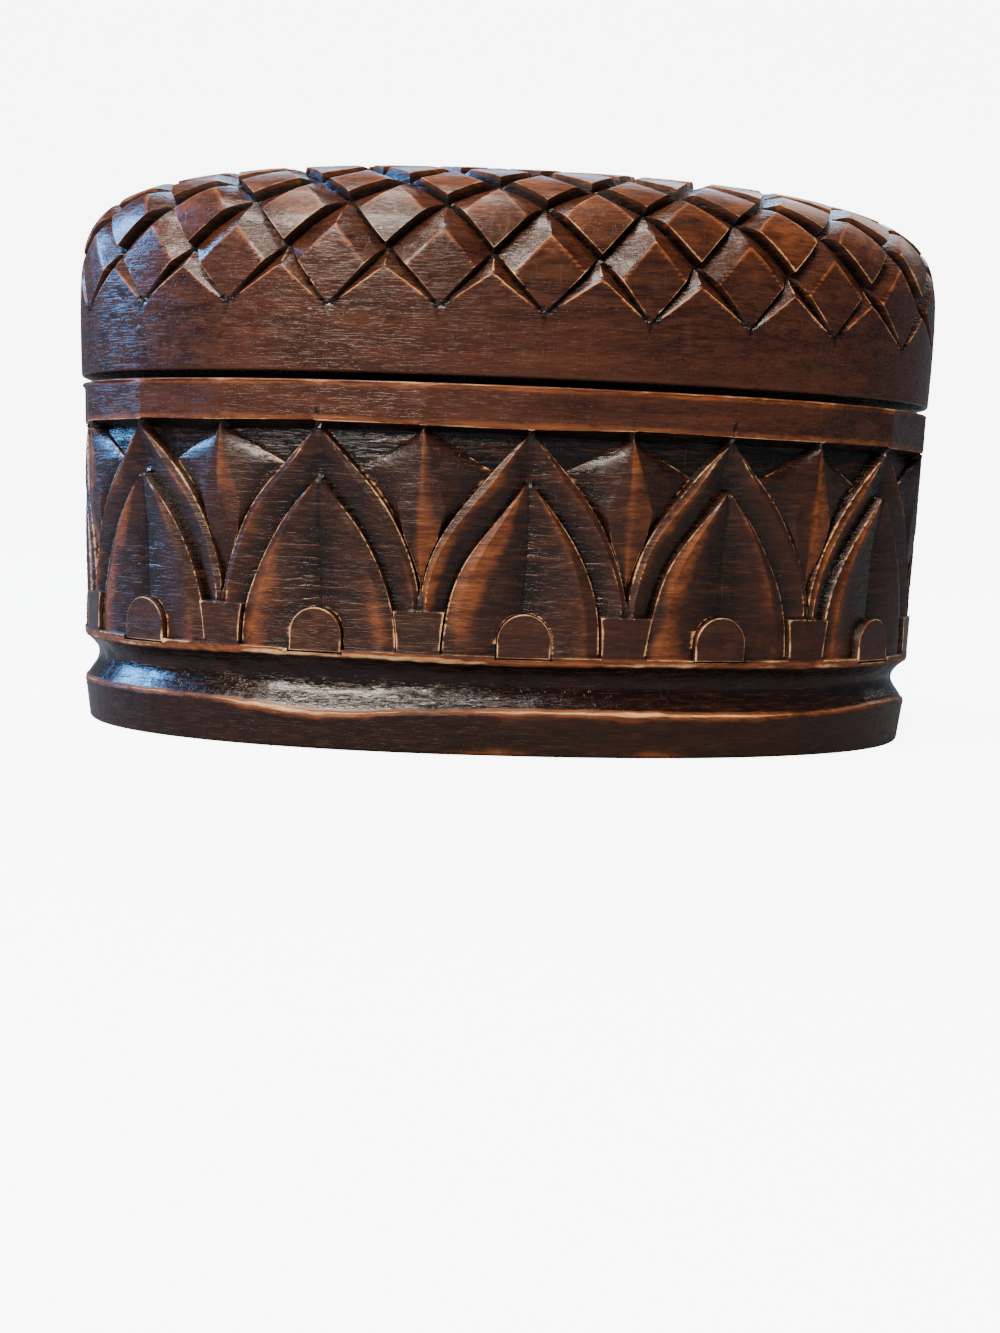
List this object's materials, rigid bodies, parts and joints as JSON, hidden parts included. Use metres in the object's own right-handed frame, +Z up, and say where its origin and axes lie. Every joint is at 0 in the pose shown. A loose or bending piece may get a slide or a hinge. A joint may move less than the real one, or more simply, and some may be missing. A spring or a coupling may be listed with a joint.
{
  "type": "trinket box",
  "caption": "Oval carved wooden trinket box with a leaf frieze round the body and a domed, diamond-cut lid hinged at the back.",
  "frame": {"origin": "middle of the underside, on the surface the box stands on", "axes": "+X along the length to the right, -Y towards the front, +Z up; the hinge line is at the back, along X"},
  "size_m": [0.1508, 0.0948, 0.0943],
  "materials": {
    "stained_wood": "dark stain, rubbed through on the edges, semi-gloss varnish",
    "hinge_brass": "aged satin"
  },
  "bodies": {
    "body": {"box_body": "stained_wood", "hinge_leaf_body_left": "hinge_brass", "hinge_leaf_body_right": "hinge_brass", "hinge_pin_left": "hinge_brass", "hinge_pin_right": "hinge_brass", "screw_body_left_1": "hinge_brass", "screw_body_left_2": "hinge_brass", "screw_body_right_1": "hinge_brass", "screw_body_right_2": "hinge_brass"},
    "lid": {"lid": "stained_wood", "hinge_leaf_lid_left": "hinge_brass", "hinge_leaf_lid_right": "hinge_brass", "screw_lid_left_1": "hinge_brass", "screw_lid_left_2": "hinge_brass", "screw_lid_right_1": "hinge_brass", "screw_lid_right_2": "hinge_brass"}
  },
  "joints": [
    {"name": "lid_hinge", "type": "hinge", "parent": "body", "child": "lid", "pos_m": [0, 0.044, 0.0582], "axis": [-1, 0, 0], "range_deg": [0, 100]}
  ]
}
